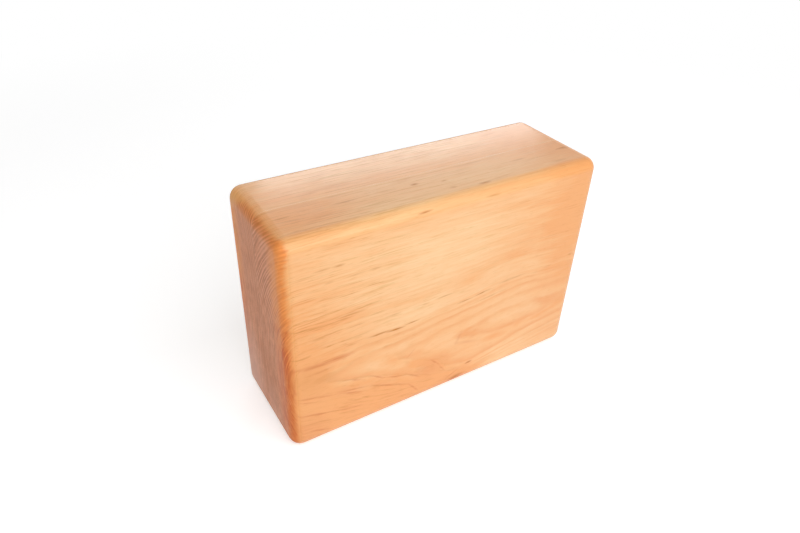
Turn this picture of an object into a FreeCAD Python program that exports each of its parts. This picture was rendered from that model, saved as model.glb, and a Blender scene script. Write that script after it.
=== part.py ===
"""Wooden yoga block: two planks glued face to face, planed square and rounded over on every edge.

Frame: millimetres, +Z up. The block stands on a long narrow face, with X along its length and Y through its
thickness, the front face towards -Y. The origin is the middle of the face that it stands on.
"""
import FreeCAD
import Part
import Sketcher
import os

# Driving dimensions in millimetres, as alias, value and meaning.
DIMENSIONS = [
    ("block_length", "220", "length of both planks, along the grain"),
    ("block_height", "150", "width of both planks, which stand on edge"),
    ("front_board_thickness", "36", "front plank, from its broad face to the glue"),
    ("glue_thickness", "0.2", "film of hardened glue between the planks"),
    ("back_board_thickness", "40.8", "back plank, from the glue to its broad face"),
    ("round_over_radius", "8", "round on every outer edge, a ball at each corner"),
]

# Layers of the glue-up from front to back, as label, alias of the thickness and the side that shows.
LAYERS = [
    ("front_board", "front_board_thickness", "front"),
    ("glue_line", "glue_thickness", "none"),
    ("back_board", "back_board_thickness", "back"),
]


def cell(alias):
    """Expression that reads one driving dimension."""
    return f"Dimensions.{alias}"


def add_up(aliases):
    """Expression that adds driving dimensions."""
    return " + ".join(cell(alias) for alias in aliases) or "0"


def make_sheet(doc):
    """Spreadsheet that keeps each driving dimension under its alias."""
    sheet = doc.addObject("Spreadsheet::Sheet", "Dimensions")
    for row, (alias, value, meaning) in enumerate(DIMENSIONS, start=1):
        sheet.set(f"A{row}", alias)
        sheet.set(f"B{row}", value)
        sheet.setAlias(f"B{row}", alias)
        sheet.set(f"C{row}", meaning)
    doc.recompute()
    return sheet


def add_outline(body, sheet):
    """Sketch of a plank's sawn rectangle, centred on the length and standing on the base."""
    sketch = body.newObject("Sketcher::SketchObject", f"{body.Name}_outline")
    plane = next(item for item in body.Origin.OriginFeatures if item.Role == "XZ_Plane")
    sketch.AttachmentSupport = [(plane, "")]
    sketch.MapMode = "FlatFace"
    left_end, right_end = -sheet.block_length / 2, sheet.block_length / 2
    corners = [
        FreeCAD.Vector(left_end, 0, 0),
        FreeCAD.Vector(right_end, 0, 0),
        FreeCAD.Vector(right_end, sheet.block_height, 0),
        FreeCAD.Vector(left_end, sheet.block_height, 0),
    ]
    followers = corners[1:] + corners[:1]
    base, right, top, left = [
        sketch.addGeometry(Part.LineSegment(start, end), False) for start, end in zip(corners, followers)
    ]
    line_start, line_end = 1, 2
    horizontal_axis, vertical_axis = -1, -2
    for side, follower in ((base, right), (right, top), (top, left), (left, base)):
        sketch.addConstraint(Sketcher.Constraint("Coincident", side, line_end, follower, line_start))
    sketch.addConstraint(Sketcher.Constraint("Horizontal", top))
    sketch.addConstraint(Sketcher.Constraint("Vertical", right))
    sketch.addConstraint(Sketcher.Constraint("Vertical", left))
    sketch.addConstraint(Sketcher.Constraint("PointOnObject", base, line_start, horizontal_axis))
    sketch.addConstraint(Sketcher.Constraint("Symmetric", base, line_start, base, line_end, vertical_axis))
    for name, kind, side, size in (
        ("length", "DistanceX", base, "block_length"),
        ("height", "DistanceY", right, "block_height"),
    ):
        value = getattr(sheet, size)
        index = sketch.addConstraint(Sketcher.Constraint(kind, side, line_start, side, line_end, value))
        sketch.renameConstraint(index, name)
        sketch.setExpression(f"Constraints.{name}", cell(size))
    return sketch


def outer_edges(blank, shown_side):
    """Names of the blank's edges that stay open to the air: all but those around its glue faces."""
    front, *_, back = sorted(blank.Shape.Faces, key=lambda face: face.CenterOfMass.y)
    glue_faces = {"front": [back], "back": [front], "none": [front, back]}[shown_side]
    glued = [edge for face in glue_faces for edge in face.Edges]
    return [
        f"Edge{number}"
        for number, edge in enumerate(blank.Shape.Edges, start=1)
        if not any(edge.isSame(other) for other in glued)
    ]


def make_layer(doc, sheet, label, thickness, shown_side, in_front):
    """One layer of the glue-up: a sawn blank behind the layers in front, its outer edges rounded over."""
    body = doc.addObject("PartDesign::Body", label)
    body.Label = label
    blank = body.newObject("PartDesign::Pad", f"{label}_blank")
    blank.Profile = add_outline(body, sheet)
    blank.Reversed = True
    blank.setExpression("Length", cell(thickness))
    doc.recompute()
    rounds = body.newObject("PartDesign::Fillet", f"{label}_round_over")
    rounds.Base = (blank, outer_edges(blank, shown_side))
    rounds.setExpression("Radius", cell("round_over_radius"))
    body.Tip = rounds
    whole = add_up(alias for _, alias, _ in LAYERS)
    body.setExpression(".Placement.Base.y", f"{add_up(in_front)} - ({whole}) / 2")
    return body


def make_block(doc):
    """All layers, each set behind the one before it."""
    sheet = make_sheet(doc)
    bodies = []
    in_front = []
    for label, thickness, shown_side in LAYERS:
        bodies.append(make_layer(doc, sheet, label, thickness, shown_side, in_front))
        in_front.append(thickness)
    doc.recompute()
    return bodies


def check(doc, bodies):
    """Stops on any object that failed to build and on any piece that isn't one sound solid."""
    failed = [item.Name for item in doc.Objects if {"Invalid", "Error"} & set(item.State)]
    if failed:
        raise RuntimeError(f"these objects did not build: {failed}")
    for body in bodies:
        if body.Shape.isNull() or not body.Shape.isValid() or len(body.Shape.Solids) != 1:
            raise RuntimeError(f"{body.Label} is not one valid solid")


def write(bodies):
    """One STEP file for each piece, named after its label."""
    os.makedirs("parts", exist_ok=True)
    for body in bodies:
        body.Shape.exportStep(f"parts/{body.Label}.step")
        size = body.Shape.BoundBox
        print(f"{body.Label}: {size.XLength:.2f} x {size.YLength:.2f} x {size.ZLength:.2f} mm")


document = FreeCAD.newDocument("yoga_block")
pieces = make_block(document)
check(document, pieces)
write(pieces)
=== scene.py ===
import math
from typing import NamedTuple

import bmesh
import bpy
from bpy.props import FloatProperty, FloatVectorProperty, IntProperty, PointerProperty
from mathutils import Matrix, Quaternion, Vector


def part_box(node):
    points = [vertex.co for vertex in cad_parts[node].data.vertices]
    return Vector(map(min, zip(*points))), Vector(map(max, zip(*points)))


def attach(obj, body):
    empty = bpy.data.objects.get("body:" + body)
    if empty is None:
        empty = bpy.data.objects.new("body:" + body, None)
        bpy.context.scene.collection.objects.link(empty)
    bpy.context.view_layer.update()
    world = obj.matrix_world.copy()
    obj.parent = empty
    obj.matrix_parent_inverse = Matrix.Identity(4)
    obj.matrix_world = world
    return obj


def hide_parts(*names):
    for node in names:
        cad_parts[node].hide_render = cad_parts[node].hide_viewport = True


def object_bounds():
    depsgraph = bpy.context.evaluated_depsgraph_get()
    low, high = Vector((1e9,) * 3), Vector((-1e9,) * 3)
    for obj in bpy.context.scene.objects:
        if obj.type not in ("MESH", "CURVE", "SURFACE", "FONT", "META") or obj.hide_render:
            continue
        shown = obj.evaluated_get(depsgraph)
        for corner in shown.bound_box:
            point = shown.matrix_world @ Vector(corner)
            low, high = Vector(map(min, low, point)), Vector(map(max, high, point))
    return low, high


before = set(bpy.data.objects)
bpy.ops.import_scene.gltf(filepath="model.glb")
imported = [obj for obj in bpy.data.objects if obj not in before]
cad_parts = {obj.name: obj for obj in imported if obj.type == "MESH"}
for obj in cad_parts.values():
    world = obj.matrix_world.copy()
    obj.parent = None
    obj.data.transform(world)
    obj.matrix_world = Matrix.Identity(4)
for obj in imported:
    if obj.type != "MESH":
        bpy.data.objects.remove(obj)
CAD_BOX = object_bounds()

bl_info = {
    "name": "Wooden yoga block",
    "version": (1, 0, 0),
    "blender": (4, 5, 0),
    "location": "View3D > Sidebar > Yoga block",
    "description": "Dresses the two glued planks of a wooden yoga block and sets a plain studio around it",
    "category": "Object",
}

# The grain is laid out in millimetres, in the block's own frame.
MM_PER_M = 1000.0
BASE_CORNER, FAR_CORNER = CAD_BOX
END_MM = FAR_CORNER.x * MM_PER_M
FRONT_MM = BASE_CORNER.y * MM_PER_M
BACK_MM = FAR_CORNER.y * MM_PER_M
TOP_MM = FAR_CORNER.z * MM_PER_M

# Directions of the two ends, and how deep a mark goes into the wood below each kind of face.
LEFT = -1
RIGHT = 1
BROAD_FACE_DEPTH = 12.0
TOP_DEPTH = 10.0
END_DEPTH = 14.0


class Swell(NamedTuple):
    """Place along and up the plank where a swelling of the stem bends the growth rings."""

    x: float
    z: float
    reach_x: float
    reach_z: float
    lift: float


class Mark(NamedTuple):
    """Cigar-shaped patch in the wood: middle, half sizes, slope of its length and strength."""

    x: float
    y: float
    z: float
    length: float
    depth: float
    height: float
    slope: float
    strength: float


def on_front(x, z, length, height, slope, strength):
    """Mark on the front face."""
    return Mark(x, FRONT_MM, z, length, BROAD_FACE_DEPTH, height, slope, strength)


def on_top(x, y, length, depth, strength):
    """Mark on the top."""
    return Mark(x, y, TOP_MM, length, depth, TOP_DEPTH, 0.0, strength)


def on_end(side, y, z, depth, height, strength):
    """Mark on the left or the right end."""
    return Mark(side * END_MM, y, z, END_DEPTH, depth, height, 0.0, strength)


def on_back(x, z, length, height, slope, strength):
    """Mark on the back face."""
    return Mark(x, BACK_MM, z, length, BROAD_FACE_DEPTH, height, slope, strength)


class Plank(NamedTuple):
    """Growth of one plank, in millimetres.

    face is the place of its broad face, inward the direction from there into the wood, and seam the place
    of the glue. The swells bend its rings. The other lists are marks: dark flecks, russet lines, patches
    that are rosy above zero and pale below, open grain, pale places low on the ends that are painted light
    from the pale floor, and corners of the ends that the oil spared, or crept over where the mark is below
    zero.
    """

    face: float
    inward: float
    seam: float
    swells: tuple
    flecks: tuple
    russet: tuple
    patches: tuple
    open_grain: tuple
    painted_floor_glow_marks: tuple
    spared: tuple


FRONT_PLANK = Plank(
    face=FRONT_MM,
    inward=1.0,
    seam=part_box("front_board")[1].y * MM_PER_M,
    swells=(
        Swell(16, 15, 80, 17, -6.3),
        Swell(20, 42.5, 60, 13, -1.3),
        Swell(52, 87, 31, 23, -2.3),
        Swell(-33, 75, 20, 16, 0.7),
        Swell(14, 3, 22, 14, -3.0),
        Swell(-122, 22, 42, 16, 3.0),
    ),
    flecks=(
        # Broken streak above the oval figure.
        on_front(-52, 71.0, 10, 1.0, 0.02, 0.9),
        on_front(-40, 70.0, 8, 1.0, -0.03, 1.0),
        on_front(-28, 70.9, 7, 0.8, 0.02, 0.7),
        on_front(12, 72.7, 8, 0.9, 0.04, 0.75),
        on_front(25, 74.2, 8, 0.9, 0.12, 0.8),
        on_front(49, 77.3, 14, 0.9, 0.03, 0.45),
        # Thick streaks at the left edge, with a faint dark cloud below them.
        on_front(-100, 93.0, 9, 0.8, -0.02, 0.6),
        on_front(-92, 92.2, 8, 0.7, 0.0, 0.6),
        on_front(-70, 93.3, 12, 0.9, 0.01, 0.45),
        on_front(-102, 73.0, 7, 0.9, 0.0, 0.5),
        on_front(-98, 55.0, 18, 17, 0.0, 0.22),
        # Knots.
        on_front(20.6, 16.2, 3.2, 1.0, 0.05, 0.6),
        on_front(10, 7.0, 7, 2.6, 0.1, 0.85),
        on_front(100, 80.5, 2.5, 1.4, 0.0, 0.35),
        # Small flecks.
        on_front(-23, 146.0, 6, 0.8, 0.03, 1.0),
        on_front(24, 145.0, 7, 0.8, 0.0, 0.4),
        on_front(-77, 128.8, 5, 0.9, 0.0, 0.5),
        on_front(-87, 128.8, 7, 0.9, 0.0, 0.35),
        on_front(-55, 119.5, 5, 0.9, 0.0, 0.5),
        on_front(-83, 119.7, 4, 0.8, 0.0, 0.4),
        on_front(-67, 119.6, 9, 0.7, 0.0, 0.3),
        on_front(-67, 83.8, 8, 0.8, 0.0, 0.35),
        on_front(-42, 82.0, 7, 0.8, 0.0, 0.4),
        on_front(-20, 81.7, 5, 0.7, 0.0, 0.35),
        on_front(-5, 82.5, 9, 0.8, 0.03, 0.45),
        on_front(80, 77.0, 5, 0.8, 0.0, 0.35),
        on_front(32, 69.0, 20, 0.8, 0.09, 0.3),
        on_front(-60, 23.3, 4, 0.9, -0.34, 0.4),
        # Flecks on the top.
        on_top(-15, -13.2, 3.5, 1.6, 1.0),
        on_top(3, -17.3, 3, 1.3, 0.6),
        on_top(3, -26.5, 3.5, 1.3, 0.55),
        on_top(23, -30.2, 6, 1.3, 0.7),
        on_top(-61, -13.2, 9, 1.2, 0.65),
        on_top(99, -14.5, 7, 1.8, 1.0),
        on_top(84, -27.7, 9, 1.3, 0.6),
        on_top(62, -14.8, 7, 1.2, 0.45),
        on_top(30, -5.2, 13, 1.2, 0.4),
        on_top(-98, -13.5, 6, 1.3, 0.55),
        on_top(-35, -12.5, 8, 1.2, 0.4),
    ),
    russet=(
        # Band above the plain wood at the left edge.
        on_front(-97, 64.4, 14, 1.9, -0.1, 0.5),
        on_front(-81, 64.0, 16, 2.1, 0.0, 0.6),
        on_front(-91, 58.6, 12, 1.2, 0.05, 0.3),
        # Lines that bend down to the knot at the foot.
        on_front(-94, 39.2, 16, 1.1, -0.28, 0.5),
        on_front(-69.5, 31.6, 14, 1.1, -0.37, 0.45),
        on_front(-69.5, 34.1, 14, 1.0, -0.235, 0.45),
        on_front(-43, 25.0, 20, 1.1, -0.44, 0.5),
        on_front(-24, 13.7, 8, 1.1, -1.2, 0.45),
        on_front(-100, 37.7, 9, 0.9, -0.355, 0.4),
        on_front(-93, 24.8, 17, 1.1, -0.29, 0.5),
        on_front(-71.5, 19.2, 13, 1.1, -0.22, 0.4),
        on_front(-91, 10.0, 10, 1.2, -0.37, 0.4),
        on_front(-68.4, 41.7, 10, 0.9, -0.42, 0.35),
        on_front(-52, 36.6, 8, 0.9, -0.62, 0.45),
        on_front(-39, 30.6, 10, 1.0, -0.34, 0.4),
        on_front(-25, 25.0, 8, 1.0, -0.68, 0.45),
        on_front(-8, 29.0, 8, 0.9, -1.0, 0.4),
        on_front(-2, 21.0, 5, 0.9, -1.35, 0.35),
        # Tip of the oval figure, and a short line beside it.
        on_front(9.6, 42.6, 7, 1.9, 2.3, 0.2),
        on_front(17, 36.2, 14, 1.8, -0.27, 0.18),
        on_front(-27.5, 45.5, 6, 0.7, 0.9, 0.25),
        # Warm wood round the knots.
        on_front(20.6, 16.2, 4.0, 1.2, 0.05, 0.6),
        on_front(11, 6.6, 9, 2.4, 0.15, 0.65),
        on_front(7, 11.4, 8, 1.1, 0.5, 0.3),
        # Oil that crept round the foot of the left end.
        on_front(-106, 13, 24, 18, 0.0, 0.28),
        # Broad warmth beside the knots.
        on_front(-13, 26.0, 12, 10, -0.3, 0.2),
        on_front(6, 6.0, 24, 6, 0.0, 0.2),
    ),
    patches=(
        # Bands on the front face: the wood's own tone, and painted light, where the pale bands high in the
        # middle and the rosy bands low at the left stand for a face lit more strongly above than at its lower
        # left.
        on_front(-85, 15, 80, 50, 0.0, 0.45),
        on_front(-18, 33, 16, 5, -0.4, 0.7),
        on_front(-8, 24, 12, 9, 0.0, 0.6),
        on_front(-112, 68, 62, 78, 0.0, 0.75),
        on_front(-112, 25, 40, 50, 0.0, 0.25),
        on_front(-70, 47, 28, 11, -0.1, -0.5),
        on_front(-80, 33.5, 26, 3, -0.12, -0.3),
        on_front(-88, 64, 22, 3.5, 0.0, 0.4),
        on_front(-96, 92.5, 16, 3, 0.0, 0.35),
        on_front(-30, 88.5, 45, 4, 0.0, 0.35),
        on_front(45, 97, 25, 5, 0.03, 0.35),
        on_front(95, 107, 30, 7, 0.0, 0.3),
        on_front(50, 14, 35, 12, 0.05, -0.35),
        on_front(16, 7, 26, 9, 0.0, 0.6),
        on_front(41, 31.7, 16, 4, 0.0, 0.5),
        on_front(62, 35, 10, 4, 0.1, 0.4),
        on_front(80, 34.5, 18, 3, 0.2, 0.4),
        on_front(98, 40, 12, 5, 0.25, 0.5),
        on_front(14, 88.8, 18, 4, 0.15, 0.4),
        on_front(105, 80, 40, 80, 0.0, 0.58),
        on_front(55, 46, 32, 10, 0.05, -0.35),
        on_front(0, 126, 120, 22, 0.0, -0.25),
        on_front(86, 80, 18, 10, 0.0, 0.35),
        on_front(50, 141, 30, 8, 0.0, -0.3),
        on_front(20, 45, 13, 6, 0.1, -0.5),
        on_front(-15, 74, 42, 14, 0.0, -0.3),
        on_front(-40, 45, 15, 7, -0.2, 0.35),
        on_front(-14, 14, 26, 9, 0.0, 0.4),
        on_front(-10, 105, 70, 35, 0.0, -0.4),
        on_front(-40, 8, 90, 40, 0.0, 0.5),
        on_front(97, 127, 85, 45, 0.0, 0.6),
        # Bands on the top and the ends.
        on_top(10, -22, 80, 18, -0.2),
        on_top(-45, -31, 50, 12, -0.35),
        on_top(-84, -14, 45, 26, 0.45),
        on_top(100, -10, 50, 45, 0.5),
        on_top(-100, -10, 40, 45, 0.3),
        on_top(100, 5, 70, 40, 0.4),
        on_end(LEFT, 0, 78, 26, 90, 0.9),
        on_end(LEFT, -8, 36, 18, 36, 0.8),
        on_end(RIGHT, -8, 60, 26, 90, 0.7),
    ),
    open_grain=(
        on_front(-85, 95, 80, 80, 0.0, 0.75),
        on_top(-85, -20, 90, 40, 0.6),
        on_top(0, -6, 180, 36, 0.75),
        on_front(-50, 22, 70, 35, 0.0, 0.5),
    ),
    # Paler places low on the ends: painted light, the pale floor's glow and reflection there.
    painted_floor_glow_marks=(
        on_end(LEFT, -8, 0, 30, 40, 0.5),
        on_end(RIGHT, -10, 20, 40, 40, 0.4),
    ),
    spared=(
        on_end(LEFT, -37, 146, 10, 12, -0.35),
        on_end(RIGHT, -36, 146, 10, 12, 0.5),
    ),
)
BACK_PLANK = Plank(
    face=BACK_MM,
    inward=-1.0,
    seam=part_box("back_board")[0].y * MM_PER_M,
    swells=(
        Swell(-40, 60, 60, 20, 3.0),
        Swell(70, 110, 50, 25, -3.5),
        Swell(-10, 20, 70, 18, 2.0),
    ),
    flecks=(
        on_top(-34, 14.8, 11, 1.2, 0.5),
        on_top(-57, 22.3, 12, 1.2, 0.45),
        on_top(-70, 6.0, 14, 1.2, 0.3),
        on_back(-30, 96, 16, 1.0, 0.03, 0.6),
        on_back(44, 41, 12, 0.9, -0.05, 0.5),
        on_back(82, 118, 6, 1.2, 0.0, 0.7),
    ),
    russet=(
        on_back(22, 70, 34, 1.3, 0.05, 0.4),
        on_back(-62, 46, 30, 1.2, -0.04, 0.4),
        on_back(48, 27, 26, 1.2, 0.08, 0.35),
    ),
    patches=(
        on_back(30, 30, 60, 20, 0.0, 0.4),
        on_back(-40, 110, 90, 30, 0.0, -0.4),
        on_top(85, 20, 40, 25, 0.4),
        on_top(0, 1, 150, 12, 0.3),
        on_top(105, 10, 80, 45, 0.5),
        on_top(-95, 5, 50, 30, 0.3),
        on_end(LEFT, 0, 78, 26, 90, 0.9),
        on_end(LEFT, -8, 36, 18, 36, 0.8),
        on_end(RIGHT, 8, 90, 30, 80, 0.7),
    ),
    open_grain=(
        on_back(60, 80, 90, 60, 0.0, 0.5),
        on_top(-20, 18, 160, 44, 1.4),
    ),
    # Paler places low on the ends: painted light, the pale floor's glow and reflection there.
    painted_floor_glow_marks=(
        on_end(LEFT, 38, -2, 46, 80, 1.2),
        on_end(RIGHT, 20, 10, 40, 50, 0.5),
    ),
    spared=(on_end(LEFT, 36, 148, 24, 16, 0.8),),
)


class Cell(NamedTuple):
    """Size of one cell of a noise, in millimetres: along the grain, across it and up."""

    along: float
    across: float
    up: float


# Noises that bend the rings, each with its swing in millimetres, and the stretch over which ring widths vary.
RING_DRIFT = Cell(60.0, 24.0, 24.0)
RING_DRIFT_SWING = 0.9
RING_RIPPLE = Cell(14.0, 5.0, 5.0)
RING_RIPPLE_SWING = 0.5
UNEVEN_RINGS_MM = 5.0

# Noises of the long grain.
FADING_LINES = Cell(25.0, 2.5, 10.0)
FIBRE_STREAKS = Cell(16.0, 0.9, 4.0)
LINE_GROUPS = Cell(60.0, 4.0, 15.0)
OPEN_LINES = Cell(20.0, 0.7, 8.0)
OPEN_DASHES = Cell(11.0, 0.6, 6.0)
BROAD_LINES = Cell(30.0, 1.5, 9.0)
VESSELS = Cell(6.0, 0.5, 0.5)
SPECKS = Cell(12.0, 1.0, 1.0)
DRIFTING_TONE = Cell(50.0, 6.0, 20.0)
COARSE_TONE = Cell(22.0, 2.4, 9.0)

# Slant of the fibres through the plank, and the swing, in millimetres, with which they pull the marks.
FIBRE_SLANT = 0.4
FIBRE_PULL_SWING = 1.5
# Distances from the heart's level between which open lines come in, and how deep the top's broad lines go.
OPEN_LINES_FROM_HEART = (12.0, 30.0)
BROAD_LINES_DEPTH = 3.0

# Noises of the ends.
OIL_WAVER = Cell(6.0, 1.5, 7.0)
END_MOTTLE = Cell(4.0, 5.0, 7.0)
END_EMBERS = Cell(6.0, 1.6, 14.0)

# Stripes on the ends for each ring on the faces, and the heights from the heart between which they come in.
STRIPES_PER_RING = 1.5
STRIPES_FROM_HEART = (-75.0, 25.0)
# Heights between which the darker foot of the ends fades out.
FOOT_FADE = (60.0, 115.0)
# Rims of the ends, in radii of the round inwards from the block's faces: where they start and are full.
SIDE_RIM_RADII = (2.6, 1.0)
TOP_RIM_RADII = (1.6, 0.5)
# Distances from the seam between which the glue's seal fades out, and the length of its stretches.
SEAL_FADE = (0.2, 1.1)
SEAL_STRETCH_MM = 30.0

# Refraction of the oil, and strength and depth, in metres, of the pores in its surface.
OIL_IOR = 1.5
PORE_STRENGTH = 0.25
PORE_DEPTH = 0.00006
# Size of the clouds in the glue.
GLUE_CLOUD_MM = 9.0


class Wire:
    """A number that varies over a surface. Each Python operator on it adds one Math node."""

    def __init__(self, paint, socket):
        self.paint = paint
        self.socket = socket

    def __add__(self, other):
        return self.paint.math("ADD", self, other)

    __radd__ = __add__

    def __sub__(self, other):
        return self.paint.math("SUBTRACT", self, other)

    def __rsub__(self, other):
        return self.paint.math("SUBTRACT", other, self)

    def __mul__(self, other):
        return self.paint.math("MULTIPLY", self, other)

    __rmul__ = __mul__

    def __truediv__(self, other):
        return self.paint.math("DIVIDE", self, other)

    def __neg__(self):
        return self * -1.0


class Paint:
    """Node tree of a material or of the world, written one node at a time."""

    def __init__(self, tree):
        self.tree = tree
        self.tree.nodes.clear()

    def node(self, kind, settings=None, sockets=None, out=0):
        """Adds a node, sets it up, fills its sockets and returns the asked output, or several of them."""
        node = self.tree.nodes.new(kind)
        for name, value in (settings or {}).items():
            setattr(node, name, value)
        for name, value in (sockets or {}).items():
            socket = self.find(node.inputs, name)
            if isinstance(value, Wire):
                self.tree.links.new(value.socket, socket)
            else:
                socket.default_value = value
        if isinstance(out, tuple):
            return tuple(Wire(self, self.find(node.outputs, name)) for name in out)
        return Wire(self, self.find(node.outputs, out)) if node.outputs else None

    @staticmethod
    def find(sockets, name):
        """Socket by its place, identifier or name."""
        if isinstance(name, int):
            return sockets[name]
        return next(s for s in sockets if name in (s.identifier, s.name))

    def math(self, operation, *operands):
        """Outcome of one Math node."""
        return self.node("ShaderNodeMath", {"operation": operation}, dict(enumerate(operands)))

    def vector(self, x, y, z):
        """Vector from its three parts."""
        return self.node("ShaderNodeCombineXYZ", None, {"X": x, "Y": y, "Z": z})

    def scaled(self, vector, factor):
        """Vector times a number."""
        return self.node("ShaderNodeVectorMath", {"operation": "SCALE"}, {0: vector, "Scale": factor})

    def noise(self, place, detail=2.0, roughness=0.5):
        """Cloud noise around zero, one cell for each unit of the place."""
        fac = self.node(
            "ShaderNodeTexNoise",
            {"noise_dimensions": "3D"},
            {"Vector": place, "Scale": 1.0, "Detail": detail, "Roughness": roughness},
            out="Fac",
        )
        return fac - 0.5

    def cells(self, size, along, across, up, detail=2.0, roughness=0.5):
        """Cloud noise around zero with cells of the given size."""
        place = self.vector(along / size.along, across / size.across, up / size.up)
        return self.noise(place, detail, roughness)

    def chance(self, value):
        """A chance number from 0 to 1 for each value."""
        return self.node("ShaderNodeTexWhiteNoise", {"noise_dimensions": "1D"}, {"W": value}, out="Value")

    def step(self, value, low, high):
        """Soft step from 0 at low to 1 at high."""
        return self.node(
            "ShaderNodeMapRange",
            {"interpolation_type": "SMOOTHSTEP"},
            {"Value": value, "From Min": low, "From Max": high},
            out="Result",
        )

    def mix(self, factor, first, second, blend="MIX"):
        """Colour between two colours."""
        return self.node(
            "ShaderNodeMix",
            {"data_type": "RGBA", "blend_type": blend, "clamp_factor": True},
            {"Factor_Float": factor, "A_Color": first, "B_Color": second},
            out="Result_Color",
        )

    def tint(self, factor, colour, tint):
        """Colour darkened by a tint."""
        return self.mix(factor, colour, self.mix(1.0, colour, rgba(tint), "MULTIPLY"))

    def bell(self, squared_distance):
        """Bell curve of a squared distance."""
        return self.math("EXPONENT", -squared_distance)

    def marks(self, place, marks):
        """Sum of the marks at a place, each fading from its strength in the middle to zero at its rim."""
        total = 0.0
        for mark in marks:
            local = self.node(
                "ShaderNodeMapping",
                {"vector_type": "TEXTURE"},
                {
                    "Vector": place,
                    "Location": (mark.x, mark.y, mark.z),
                    "Rotation": (0.0, -math.atan(mark.slope), 0.0),
                    "Scale": (mark.length, mark.depth, mark.height),
                },
            )
            fade = self.node(
                "ShaderNodeTexGradient",
                {"gradient_type": "SPHERICAL"},
                {"Vector": local},
                out="Fac",
            )
            total = self.math("MULTIPLY_ADD", fade, mark.strength, total)
        return total


def rgba(colour):
    """Opaque colour with its fourth value."""
    return (*colour, 1.0)


class GrowthSettings:
    """Where the tree's heart lies from a plank and how wide its rings are."""

    heart_distance: FloatProperty(
        name="Heart distance", description="From the plank's broad face out to the tree's heart",
        default=0.064, unit="LENGTH",
    )
    heart_height: FloatProperty(
        name="Heart height", description="Height of the tree's heart at the middle of the length",
        default=0.0495, unit="LENGTH",
    )
    heart_lean: FloatProperty(
        name="Heart lean", description="How far the heart nears the broad face along the length",
        default=0.015,
    )
    heart_climb: FloatProperty(
        name="Heart climb", description="How far the heart rises along the length", default=-0.02,
    )
    ring_width: FloatProperty(
        name="Ring width", description="Width of one year's growth", default=0.00142, unit="LENGTH",
    )
    ring_start: FloatProperty(
        name="Ring start", description="Radius of one ring's edge", default=0.06409, unit="LENGTH",
    )
    ring_spread: FloatProperty(
        name="Ring spread", description="How much wider each ring is than the one inside it", default=0.03,
    )
    ring_seed: FloatProperty(
        name="Ring seed", description="Picks which years left strong lines", default=450.5,
    )


class YOGA_PG_front_growth(GrowthSettings, bpy.types.PropertyGroup):
    """Growth of the front plank."""


class YOGA_PG_back_growth(GrowthSettings, bpy.types.PropertyGroup):
    """Growth of the back plank, from another part of the tree."""

    heart_distance: FloatProperty(
        name="Heart distance", description="From the plank's broad face out to the tree's heart",
        default=0.2, unit="LENGTH",
    )
    heart_height: FloatProperty(
        name="Heart height", description="Height of the tree's heart at the middle of the length",
        default=0.08, unit="LENGTH",
    )
    heart_lean: FloatProperty(
        name="Heart lean", description="How far the heart nears the broad face along the length",
        default=0.004,
    )
    ring_width: FloatProperty(
        name="Ring width", description="Width of one year's growth", default=0.002, unit="LENGTH",
    )
    ring_start: FloatProperty(
        name="Ring start", description="Radius of one ring's edge", default=0.2, unit="LENGTH",
    )


class YOGA_PG_finish(bpy.types.PropertyGroup):
    """Shape of the rounded edges and colours of the oiled wood."""

    round_over: FloatProperty(
        name="Round-over", description="Radius of the round on every outer edge",
        default=0.008, unit="LENGTH",
    )
    round_steps: IntProperty(name="Round steps", description="Facets across each round", default=12, min=2)
    pale_wood: FloatVectorProperty(
        name="Pale wood", description="Lightest tone of the wood", subtype="COLOR",
        default=(0.88, 0.56, 0.29),
    )
    rosy_wood: FloatVectorProperty(
        name="Rosy wood", description="Tone of the warm bands", subtype="COLOR",
        default=(0.82, 0.37, 0.13),
    )
    late_wood: FloatVectorProperty(
        name="Late wood", description="Thin line at the edge of each ring", subtype="COLOR",
        default=(0.80, 0.36, 0.13),
    )
    fleck: FloatVectorProperty(
        name="Fleck", description="Dark streaks, flecks and knots", subtype="COLOR",
        default=(0.48, 0.155, 0.005),
    )
    russet: FloatVectorProperty(
        name="Russet", description="Warm brown lines in the wood", subtype="COLOR",
        default=(0.55, 0.12, 0.02),
    )
    pore_tint: FloatVectorProperty(
        name="Pore tint", description="How open pores darken the long grain", subtype="COLOR",
        default=(0.77, 0.65, 0.42),
    )
    pale_end: FloatVectorProperty(
        name="Pale end grain", description="Early wood on the ends, where oil soaks in", subtype="COLOR",
        default=(0.75, 0.30, 0.14),
    )
    dark_end: FloatVectorProperty(
        name="Dark end grain", description="Late wood on the ends", subtype="COLOR",
        default=(0.51, 0.165, 0.05),
    )
    pale_rim: FloatVectorProperty(
        name="Pale rim", description="Early wood on the rims of the ends, sanded finer", subtype="COLOR",
        default=(0.88, 0.33, 0.085),
    )
    dark_rim: FloatVectorProperty(
        name="Dark rim", description="Late wood on the rims of the ends", subtype="COLOR",
        default=(0.60, 0.135, 0.032),
    )
    # Painted light: pale colour for the floor's glow and reflection low on the ends.
    painted_floor_glow: FloatVectorProperty(
        name="Dry end", description="Places on the ends that took up less oil", subtype="COLOR",
        default=(0.73, 0.42, 0.315),
    )
    # Partly wear and partly painted shade: the rounded edges are deepened also where the key lamp's highlight
    # would show on them.
    edge_wear_and_painted_shade: FloatVectorProperty(
        name="Edge tint", description="How the rounded edges deepen, where hands and oil have darkened them",
        subtype="COLOR", default=(0.985, 0.92, 0.76),
    )
    glue: FloatVectorProperty(
        name="Glue", description="Hardened glue between the planks", subtype="COLOR",
        default=(0.90, 0.62, 0.35),
    )
    roughness: FloatProperty(name="Roughness", description="Roughness of the oiled long grain", default=0.15)


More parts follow.
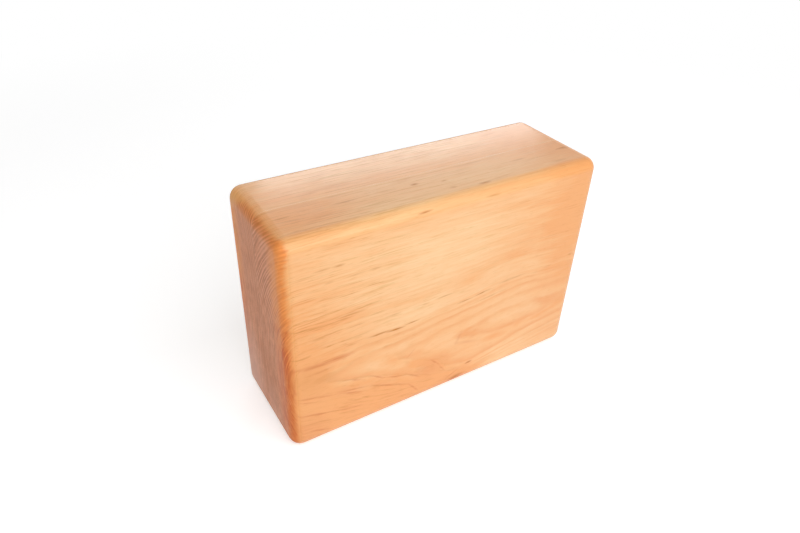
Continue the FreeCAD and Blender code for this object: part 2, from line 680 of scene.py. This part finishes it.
class YOGA_PG_studio(bpy.types.PropertyGroup):
    """Camera, lamps and floor."""

    camera_place: FloatVectorProperty(
        name="Camera", description="Place of the camera", subtype="XYZ", unit="LENGTH",
        default=(-0.2029, -0.2922, 0.3231),
    )
    camera_aim: FloatVectorProperty(
        name="Aim", description="Point that the camera looks at", subtype="XYZ", unit="LENGTH",
        default=(-0.0139, 0.0, 0.0841),
    )
    camera_roll: FloatProperty(
        name="Roll", description="Turn of the camera about its view",
        default=math.radians(2.52), unit="ROTATION",
    )
    lens: FloatProperty(name="Lens", description="Focal length on a 36 mm wide sensor, in mm", default=29.28)
    floor: FloatVectorProperty(
        name="Floor", description="Colour of the floor", subtype="COLOR", default=(0.85, 0.85, 0.85),
    )
    floor_lift: FloatProperty(
        name="Floor lift", description="Glow that the camera sees on the floor", default=0.42,
    )
    ambient: FloatProperty(name="Ambient", description="Light from all around", default=0.22)
    key_power: FloatProperty(name="Key", description="Power of the front softbox, in watts", default=40.2)
    strip_power: FloatProperty(name="Strip", description="Power of the back strip, in watts", default=2.7)
    fill_power: FloatProperty(name="Fill", description="Power of the back fill, in watts", default=2.8)


class Spot(NamedTuple):
    """Point of the wood in millimetres: as one vector, and along, through and up the block."""

    place: Wire
    x: Wire
    y: Wire
    z: Wire


class Rings(NamedTuple):
    """Growth rings at a point of the wood.

    radius is the distance from the heart and up the height above it. years counts the rings, year numbers the
    ring and season runs from 0 to 1 across it. patchy comes and goes along the length, and strength says how
    strongly the ring's late line shows.
    """

    radius: Wire
    up: Wire
    years: Wire
    year: Wire
    season: Wire
    patchy: Wire
    strength: Wire


class LongGrain(NamedTuple):
    """Wood along the grain at a point.

    streak, lines and vessels are its fibres and pores, and ragged is the point as the fibres pull it. tone
    runs from pale to rosy, and the other values say how much of each darker colour lies over it.
    """

    streak: Wire
    lines: Wire
    vessels: Wire
    ragged: Wire
    tone: Wire
    late: Wire
    russet: Wire
    open_grain: Wire
    flecks: Wire


class EndGrain(NamedTuple):
    """Ends of the plank at a point: cover of oil and of end grain, ring stripes, blotches and colour."""

    soak: Wire
    cover: Wire
    stripes: Wire
    mottle: Wire
    colour: Wire


def new_material(name):
    """Empty material and the paint that fills it."""
    material = bpy.data.materials.new(name)
    material.use_nodes = True
    return material, Paint(material.node_tree)


def wood_spot(paint):
    """The point that is shaded, in the block's own frame."""
    coordinates = paint.node("ShaderNodeTexCoord", out="Object")
    place = paint.scaled(coordinates, MM_PER_M)
    x, y, z = paint.node("ShaderNodeSeparateXYZ", None, {0: place}, out=("X", "Y", "Z"))
    return Spot(place, x, y, z)


def ring_radius(paint, spot, plank, growth):
    """Distance from the tree's heart, with the swells that bend the rings, and height above the heart."""
    x, y, z = spot.x, spot.y, spot.z
    out = (y - plank.face) * plank.inward + growth.heart_distance * MM_PER_M - x * growth.heart_lean
    up = z - x * growth.heart_climb - growth.heart_height * MM_PER_M
    radius = paint.math("SQRT", out * out + up * up)
    for swell in plank.swells:
        along = (x - swell.x) / swell.reach_x
        above = (z - swell.z) / swell.reach_z
        radius = radius + paint.bell(along * along + above * above) * swell.lift
    drift = paint.cells(RING_DRIFT, x, y, z)
    ripple = paint.cells(RING_RIPPLE, x, y, z)
    return radius + drift * RING_DRIFT_SWING + ripple * RING_RIPPLE_SWING, up


def growth_rings(paint, spot, plank, growth):
    """Rings that widen outwards, with late lines that differ by year and come and go along the length."""
    radius, up = ring_radius(paint, spot, plank, growth)
    years = (radius - growth.ring_start * MM_PER_M) / (growth.ring_width * MM_PER_M)
    years = paint.math("LOGARITHM", years * growth.ring_spread + 1.0, math.e) / growth.ring_spread
    uneven = paint.noise(paint.vector(radius / UNEVEN_RINGS_MM, 0.0, 0.0), detail=1.0)
    years = years + uneven * paint.step(years, 2.0, 8.0)
    year = paint.math("FLOOR", years) + growth.ring_seed
    season = paint.math("FRACT", years)
    vigour = paint.chance(year) * 0.7 + 0.3
    patchy = paint.step(paint.cells(FADING_LINES, spot.x, radius, up), -0.25, 0.2)
    strength = vigour * patchy + (1.0 - paint.step(years, 1.0, 2.5)) * 0.4
    return Rings(radius, up, years, year, season, patchy, strength)


def long_grain(paint, spot, rings, plank):
    """Wood along the grain, with the plank's own marks in it."""
    x, y, z = spot.x, spot.y, spot.z
    radius, up, season = rings.radius, rings.up, rings.season
    across = radius + y * FIBRE_SLANT * plank.inward
    streak = paint.cells(FIBRE_STREAKS, x, across, up, detail=3.0, roughness=0.6)

    # Warm late line of each ring, weaker on the outer rings, and the ring's sharp outer rim.
    line = paint.step(season, 0.35, 0.8) * (1.0 - paint.step(season, 0.8, 1.0))
    fading = 1.0 - paint.step(rings.years, 1.5, 4.0) * 0.5 - paint.step(rings.years, 4.0, 10.0) * 0.22
    late = line * rings.strength * fading
    rim = paint.step(season, 0.78, 0.92) * (1.0 - paint.step(season, 0.95, 1.0)) * rings.strength

    # Thin lines of open grain in loose groups, denser in the marked places, and fine vessels all over.
    wild = paint.marks(spot.place, plank.open_grain)
    groups = paint.step(paint.cells(LINE_GROUPS, x, radius, up), -0.15, 0.2)
    busy = groups * 0.42 + wild + 0.14
    lines = paint.step(paint.cells(OPEN_LINES, x, across, up, detail=3.0), 0.0, 0.28)
    lines = lines * paint.step(paint.math("ABSOLUTE", up), *OPEN_LINES_FROM_HEART)
    dashes = paint.step(paint.cells(OPEN_DASHES, x, across, up), 0.06, 0.3)
    topmost = paint.step(z, TOP_MM - BROAD_LINES_DEPTH, TOP_MM)
    broad = paint.step(paint.cells(BROAD_LINES, x, across, up), 0.02, 0.26) * topmost
    vessels = paint.step(paint.cells(VESSELS, x, y, z, detail=1.0), 0.08, 0.28)
    open_grain = lines * busy + (rim * 0.8 + dashes + broad) * wild + vessels * 0.38

    # Tone that drifts between pale and rosy, and marks whose rims the fibres pull ragged.
    shift = streak * FIBRE_PULL_SWING
    pull = paint.vector(0.0, shift, shift)
    ragged = paint.node("ShaderNodeVectorMath", {"operation": "ADD"}, {0: spot.place, 1: pull})
    drift = paint.cells(DRIFTING_TONE, x, radius, up)
    coarse = paint.cells(COARSE_TONE, x, across, up)
    by_year = paint.chance(rings.year + 0.25) - 0.5
    tone = by_year * 0.12 + drift * 0.6 + coarse * 0.4 + streak * 0.7 + 0.47
    tone = tone + paint.marks(ragged, plank.patches)
    torn = paint.step(streak, -0.2, 0.05) * 0.7 + 0.5
    specks = paint.step(paint.cells(SPECKS, x, y, z, detail=0.0), 0.3, 0.4)
    flecks = paint.marks(ragged, plank.flecks) * torn + specks * busy * 0.3
    russet = paint.marks(ragged, plank.russet) * torn
    return LongGrain(streak, lines, vessels, ragged, tone, late, russet, open_grain, flecks)


def round_over_masks(paint, spot, finish):
    """Two masks: 1 along the middle of each rounded edge, and 1 from there inwards around the ends."""
    middle = (BASE_CORNER + FAR_CORNER) / 2 * MM_PER_M
    half = (FAR_CORNER - BASE_CORNER) / 2 * MM_PER_M
    radius = finish.round_over * MM_PER_M
    x, y, z = (
        paint.step(paint.math("ABSOLUTE", value - centre), reach - radius, reach)
        for value, centre, reach in zip((spot.x, spot.y, spot.z), middle, half)
    )
    edge = paint.math("MINIMUM", (x * y + y * z + z * x) * 1.6, 1.0)
    from_middle = paint.math("ABSOLUTE", spot.y - middle.y)
    side = paint.step(from_middle, *(half.y - radii * radius for radii in SIDE_RIM_RADII))
    top = paint.step(spot.z, *(TOP_MM - radii * radius for radii in TOP_RIM_RADII))
    return edge, paint.math("MAXIMUM", side, top * 0.35)


def end_stripes(paint, rings, growth):
    """Rings as they show on the ends: above zero for dark late wood, below zero for pale early wood."""
    count = rings.years * STRIPES_PER_RING
    stripe = paint.math("FRACT", count)
    early = paint.step(stripe, 0.0, 0.15) * (1.0 - paint.step(stripe, 0.2, 0.55))
    dark = paint.step(stripe, 0.5, 0.8) * (1.0 - paint.step(stripe, 0.85, 1.0))
    bold = paint.chance(paint.math("FLOOR", count) + growth.ring_seed) * 0.8 + 0.3
    return (dark * 0.35 - early) * bold * rings.patchy * paint.step(rings.up, *STRIPES_FROM_HEART)


def end_grain(paint, spot, rings, grain, rim, plank, growth, finish):
    """Ends that oil has soaked into with a ragged edge, blotched and striped, with redder rims."""
    x, y, z = spot.x, spot.y, spot.z
    outward = (paint.math("ABSOLUTE", x) - END_MM) / (finish.round_over * MM_PER_M) + 1.0
    waver = paint.cells(OIL_WAVER, x, rings.radius, z, detail=3.0)
    soak = paint.step(outward + waver * 0.5 - paint.marks(spot.place, plank.spared), 0.36, 0.84)
    cover = paint.step(outward, 0.3, 0.8)

    stripes = end_stripes(paint, rings, growth)
    mottle = paint.cells(END_MOTTLE, x, y, z, detail=5.0, roughness=0.65)
    embers = paint.step(paint.cells(END_EMBERS, x, rings.radius, z), -0.02, 0.2)
    foot = 1.0 - paint.step(z, *FOOT_FADE)
    tone = stripes * (2.5 - rim * 1.4) + mottle * (foot * 1.4 + 1.5) + grain.vessels * 0.7
    tone = tone + (embers - 0.4) * 0.6 + grain.tone * 0.7 + 0.2
    rim_tone = stripes * (waver * 2.0 + 0.5) + mottle * 1.4 + embers * (foot * 0.6 + 0.3)
    rim_tone = rim_tone + foot * 0.6 + 0.12

    colour = paint.mix(tone, rgba(finish.pale_end), rgba(finish.dark_end))
    rim_colour = paint.mix(rim_tone, rgba(finish.pale_rim), rgba(finish.dark_rim))
    colour = paint.mix(rim * (mottle * 1.5 + 0.9), colour, rim_colour)
    # The ends grow paler towards their foot: painted light, the glow and reflection of the pale floor.
    floor_glow = paint.marks(grain.ragged, plank.painted_floor_glow_marks)
    colour = paint.mix(floor_glow, colour, rgba(finish.painted_floor_glow))
    return EndGrain(soak, cover, stripes, mottle, colour)


def sealed_by_glue(paint, spot, plank):
    """1 in broken stretches along the seam, where glue has sealed the wood."""
    beside_seam = 1.0 - paint.step(paint.math("ABSOLUTE", spot.y - plank.seam), *SEAL_FADE)
    stretches = paint.noise(paint.vector(spot.x / SEAL_STRETCH_MM, 0.0, 0.0))
    return beside_seam * paint.step(stretches, -0.1, 0.15)


def oiled_wood(name, plank, growth, finish):
    """Solid wood whose rings, streaks and pores run through the plank, so that every face fits the next."""
    material, paint = new_material(name)
    spot = wood_spot(paint)
    rings = growth_rings(paint, spot, plank, growth)
    grain = long_grain(paint, spot, rings, plank)
    edge, rim_of_end = round_over_masks(paint, spot, finish)
    ends = end_grain(paint, spot, rings, grain, rim_of_end, plank, growth, finish)

    colour = paint.mix(grain.tone, rgba(finish.pale_wood), rgba(finish.rosy_wood))
    colour = paint.mix(grain.late * 0.8, colour, rgba(finish.late_wood))
    colour = paint.mix(grain.russet, colour, rgba(finish.russet))
    colour = paint.tint(grain.open_grain, colour, finish.pore_tint)
    colour = paint.mix(sealed_by_glue(paint, spot, plank) * 0.1, colour, rgba(finish.glue))
    colour = paint.mix(ends.soak, colour, ends.colour)
    # Deepens the rounded edges: wear, and painted shade that holds back the key lamp's highlight on the
    # rounds.
    colour = paint.tint(edge, colour, finish.edge_wear_and_painted_shade)
    colour = paint.mix(grain.flecks, colour, rgba(finish.fleck))

    roughness = finish.roughness + grain.streak * 0.06 + grain.lines * 0.04 + edge * 0.2
    roughness = roughness + ends.cover * (ends.stripes * 0.2 + 0.4)
    height = grain.streak * 0.5 - grain.open_grain * 0.6 - ends.cover * (ends.stripes + ends.mottle)
    bump = paint.node(
        "ShaderNodeBump",
        None,
        {"Strength": PORE_STRENGTH, "Distance": PORE_DEPTH, "Height": height},
    )
    shader = paint.node(
        "ShaderNodeBsdfPrincipled",
        None,
        {"Base Color": colour, "Roughness": roughness, "Normal": bump, "IOR": OIL_IOR},
    )
    paint.node("ShaderNodeOutputMaterial", None, {"Surface": shader})
    return material


def hard_glue(name, finish):
    """Glue film, sanded flush, and darker on the ends."""
    material, paint = new_material(name)
    coordinates = paint.node("ShaderNodeTexCoord", out="Object")
    cloud = paint.noise(paint.scaled(coordinates, MM_PER_M / GLUE_CLOUD_MM), detail=3.0)
    x = paint.node("ShaderNodeSeparateXYZ", None, {0: coordinates}, out="X")
    at_end = paint.step(paint.math("ABSOLUTE", x), FAR_CORNER.x - finish.round_over, FAR_CORNER.x)
    colour = paint.mix(cloud * 0.8 + 0.3, rgba(finish.glue), rgba(finish.pale_wood))
    colour = paint.mix(at_end * 0.7, colour, rgba(finish.dark_end))
    shader = paint.node(
        "ShaderNodeBsdfPrincipled",
        None,
        {"Base Color": colour, "Roughness": cloud * 0.2 + 0.4},
    )
    paint.node("ShaderNodeOutputMaterial", None, {"Surface": shader})
    return material


# Distance, in metres, within which a point lies in a plane.
IN_PLANE = 1e-6
# Pull of the large flat faces on the normals beside them, in full.
LARGE_FACE_WEIGHT = 100


def lies_in(edge, planes):
    """Whether an edge lies in one of the planes across the block's thickness."""
    return any(all(math.isclose(v.co.y, plane, abs_tol=IN_PLANE) for v in edge.verts) for plane in planes)


def rounded_board(name, node, glue_sides, finish):
    """Board in the place of a node, with every edge that is open to the air rounded over."""
    low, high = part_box(node)
    glue_planes = [low.y if side == "front" else high.y for side in glue_sides]
    bm = bmesh.new()
    bmesh.ops.create_cube(bm, size=1.0)
    bmesh.ops.scale(bm, vec=high - low, verts=bm.verts)
    bmesh.ops.translate(bm, vec=(low + high) / 2, verts=bm.verts)
    open_edges = [edge for edge in bm.edges if not lies_in(edge, glue_planes)]
    bmesh.ops.bevel(
        bm, geom=open_edges, offset=finish.round_over, offset_type="OFFSET", segments=finish.round_steps,
        profile=0.5, affect="EDGES", material=-1,
    )
    for edge in bm.edges:
        edge.smooth = not lies_in(edge, glue_planes)
    mesh = bpy.data.meshes.new(name)
    bm.to_mesh(mesh)
    bm.free()
    mesh.shade_smooth()
    board = bpy.data.objects.new(name, mesh)
    bpy.context.scene.collection.objects.link(board)
    even = board.modifiers.new("Even normals", "WEIGHTED_NORMAL")
    even.weight = LARGE_FACE_WEIGHT
    even.keep_sharp = True
    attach(board, "root")
    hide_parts(node)
    return board


class YOGA_OT_front_board(bpy.types.Operator):
    """Front plank, flat-sawn, with its heart in front of the block"""

    bl_idname = "yoga.front_board"
    bl_label = "Front board"

    def execute(self, context):
        finish = context.scene.yoga_finish
        board = rounded_board("front_board_wood", "front_board", ("back",), finish)
        growth = context.scene.yoga_front_growth
        board.data.materials.append(oiled_wood("front_plank_wood", FRONT_PLANK, growth, finish))
        return {"FINISHED"}


class YOGA_OT_back_board(bpy.types.Operator):
    """Back plank, with its heart behind the block"""

    bl_idname = "yoga.back_board"
    bl_label = "Back board"

    def execute(self, context):
        finish = context.scene.yoga_finish
        board = rounded_board("back_board_wood", "back_board", ("front",), finish)
        growth = context.scene.yoga_back_growth
        board.data.materials.append(oiled_wood("back_plank_wood", BACK_PLANK, growth, finish))
        return {"FINISHED"}


class YOGA_OT_glue_line(bpy.types.Operator):
    """Film of hardened glue between the planks"""

    bl_idname = "yoga.glue_line"
    bl_label = "Glue line"

    def execute(self, context):
        finish = context.scene.yoga_finish
        film = rounded_board("glue_line_film", "glue_line", ("front", "back"), finish)
        film.data.materials.append(hard_glue("hard_glue", finish))
        return {"FINISHED"}


class Softbox(NamedTuple):
    """Studio lamp: its place, the point that it faces, its size, and whether the oil mirrors it."""

    name: str
    place: Vector
    aim: Vector
    width: float
    height: float
    in_gloss: bool


KEY_SOFTBOX = Softbox("key_softbox", Vector((-0.1, -1.24, 1.2)), Vector((0.0, 0.0, 0.075)), 3.0, 2.0, True)
BACK_STRIP = Softbox("back_strip", Vector((0.9, 1.35, 0.775)), Vector((0.9, 0.0, 0.515)), 1.1, 0.2, True)
BACK_FILL = Softbox("back_fill", Vector((0.9, 1.35, 0.56)), Vector((0.9, 0.0, 0.3)), 1.1, 0.23, False)

# Half the floor's width, and the distances between which the floor fades into the backdrop, in metres.
FLOOR_HALF_WIDTH = 6.0
FLOOR_FADE = (0.35, 0.9)
# Strength of the white backdrop.
BACKDROP_STRENGTH = 1.0
# Nearest distance that the camera shows, in metres.
CAMERA_NEAR = 0.01


def add_softbox(softbox, power):
    """Area lamp that stands at the softbox's place and faces its aim."""
    lamp = bpy.data.lights.new(softbox.name, "AREA")
    lamp.shape = "RECTANGLE"
    lamp.size = softbox.width
    lamp.size_y = softbox.height
    lamp.energy = power
    stand = bpy.data.objects.new(softbox.name, lamp)
    stand.location = softbox.place
    stand.rotation_euler = (softbox.aim - softbox.place).to_track_quat("-Z", "Y").to_euler()
    stand.visible_glossy = softbox.in_gloss
    bpy.context.scene.collection.objects.link(stand)


def seen_flag(paint):
    """1 for rays of the camera and of reflections and refractions, 0 for rays that gather light."""
    seen = paint.node("ShaderNodeLightPath", out=("Is Camera Ray", "Is Glossy Ray", "Is Transmission Ray"))
    return paint.math("MINIMUM", seen[0] + seen[1] + seen[2], 1.0)


class YOGA_OT_studio(bpy.types.Operator):
    """Pale floor, soft light and the camera"""

    bl_idname = "yoga.studio"
    bl_label = "Studio"

    def execute(self, context):
        studio = context.scene.yoga_studio
        self.add_floor(context, studio)
        self.add_world(context, studio)
        add_softbox(KEY_SOFTBOX, studio.key_power)
        add_softbox(BACK_STRIP, studio.strip_power)
        add_softbox(BACK_FILL, studio.fill_power)
        self.add_camera(context, studio)
        context.scene.view_settings.view_transform = "Standard"
        return {"FINISHED"}

    def add_floor(self, context, studio):
        bm = bmesh.new()
        bmesh.ops.create_grid(bm, x_segments=1, y_segments=1, size=FLOOR_HALF_WIDTH)
        mesh = bpy.data.meshes.new("studio_floor")
        bm.to_mesh(mesh)
        bm.free()
        floor = bpy.data.objects.new("studio_floor", mesh)
        context.scene.collection.objects.link(floor)
        material, paint = new_material("studio_floor")
        matt = paint.node("ShaderNodeBsdfDiffuse", None, {"Color": rgba(studio.floor)})
        glow = paint.node("ShaderNodeEmission", None, {"Strength": studio.floor_lift})
        lifted = paint.node("ShaderNodeAddShader", None, {0: matt, 1: glow})
        backdrop = paint.node("ShaderNodeEmission", None, {"Strength": BACKDROP_STRENGTH})
        place = paint.node("ShaderNodeTexCoord", out="Object")
        distance = paint.node("ShaderNodeVectorMath", {"operation": "LENGTH"}, {0: place}, out="Value")
        far = paint.step(distance, *FLOOR_FADE)
        faded = paint.node("ShaderNodeMixShader", None, {0: far, 1: lifted, 2: backdrop})
        surface = paint.node("ShaderNodeMixShader", None, {0: seen_flag(paint), 1: matt, 2: faded})
        paint.node("ShaderNodeOutputMaterial", None, {"Surface": surface})
        mesh.materials.append(material)

    def add_world(self, context, studio):
        world = bpy.data.worlds.new("studio_light")
        world.use_nodes = True
        context.scene.world = world
        paint = Paint(world.node_tree)
        white = rgba((1.0, 1.0, 1.0))
        light = paint.node("ShaderNodeBackground", None, {"Color": white, "Strength": studio.ambient})
        backdrop = paint.node("ShaderNodeBackground", None, {"Color": white, "Strength": BACKDROP_STRENGTH})
        sky = paint.node("ShaderNodeMixShader", None, {0: seen_flag(paint), 1: light, 2: backdrop})
        paint.node("ShaderNodeOutputWorld", None, {"Surface": sky})

    def add_camera(self, context, studio):
        data = bpy.data.cameras.new("photo_view")
        data.lens = studio.lens
        data.clip_start = CAMERA_NEAR
        camera = bpy.data.objects.new("photo_view", data)
        place, aim = Vector(studio.camera_place), Vector(studio.camera_aim)
        turn = (aim - place).to_track_quat("-Z", "Y") @ Quaternion((0.0, 0.0, 1.0), studio.camera_roll)
        camera.location = place
        camera.rotation_euler = turn.to_euler()
        context.scene.collection.objects.link(camera)
        context.scene.camera = camera


PIECES = (YOGA_OT_front_board, YOGA_OT_back_board, YOGA_OT_glue_line, YOGA_OT_studio)


class YOGA_PT_block(bpy.types.Panel):
    """Steps that dress the yoga block"""

    bl_label = "Wooden yoga block"
    bl_idname = "YOGA_PT_block"
    bl_space_type = "VIEW_3D"
    bl_region_type = "UI"
    bl_category = "Yoga block"

    def draw(self, context):
        for piece in PIECES:
            self.layout.operator(piece.bl_idname)


SETTINGS = {
    "yoga_front_growth": YOGA_PG_front_growth,
    "yoga_back_growth": YOGA_PG_back_growth,
    "yoga_finish": YOGA_PG_finish,
    "yoga_studio": YOGA_PG_studio,
}


def register():
    for cls in (*SETTINGS.values(), *PIECES, YOGA_PT_block):
        bpy.utils.register_class(cls)
    for name, cls in SETTINGS.items():
        setattr(bpy.types.Scene, name, PointerProperty(type=cls))


def unregister():
    for name in SETTINGS:
        delattr(bpy.types.Scene, name)
    for cls in (YOGA_PT_block, *reversed(PIECES), *SETTINGS.values()):
        bpy.utils.unregister_class(cls)


def main():
    register()
    bpy.ops.yoga.front_board()
    bpy.ops.yoga.back_board()
    bpy.ops.yoga.glue_line()
    bpy.ops.yoga.studio()


if __name__ == "__main__":
    main()
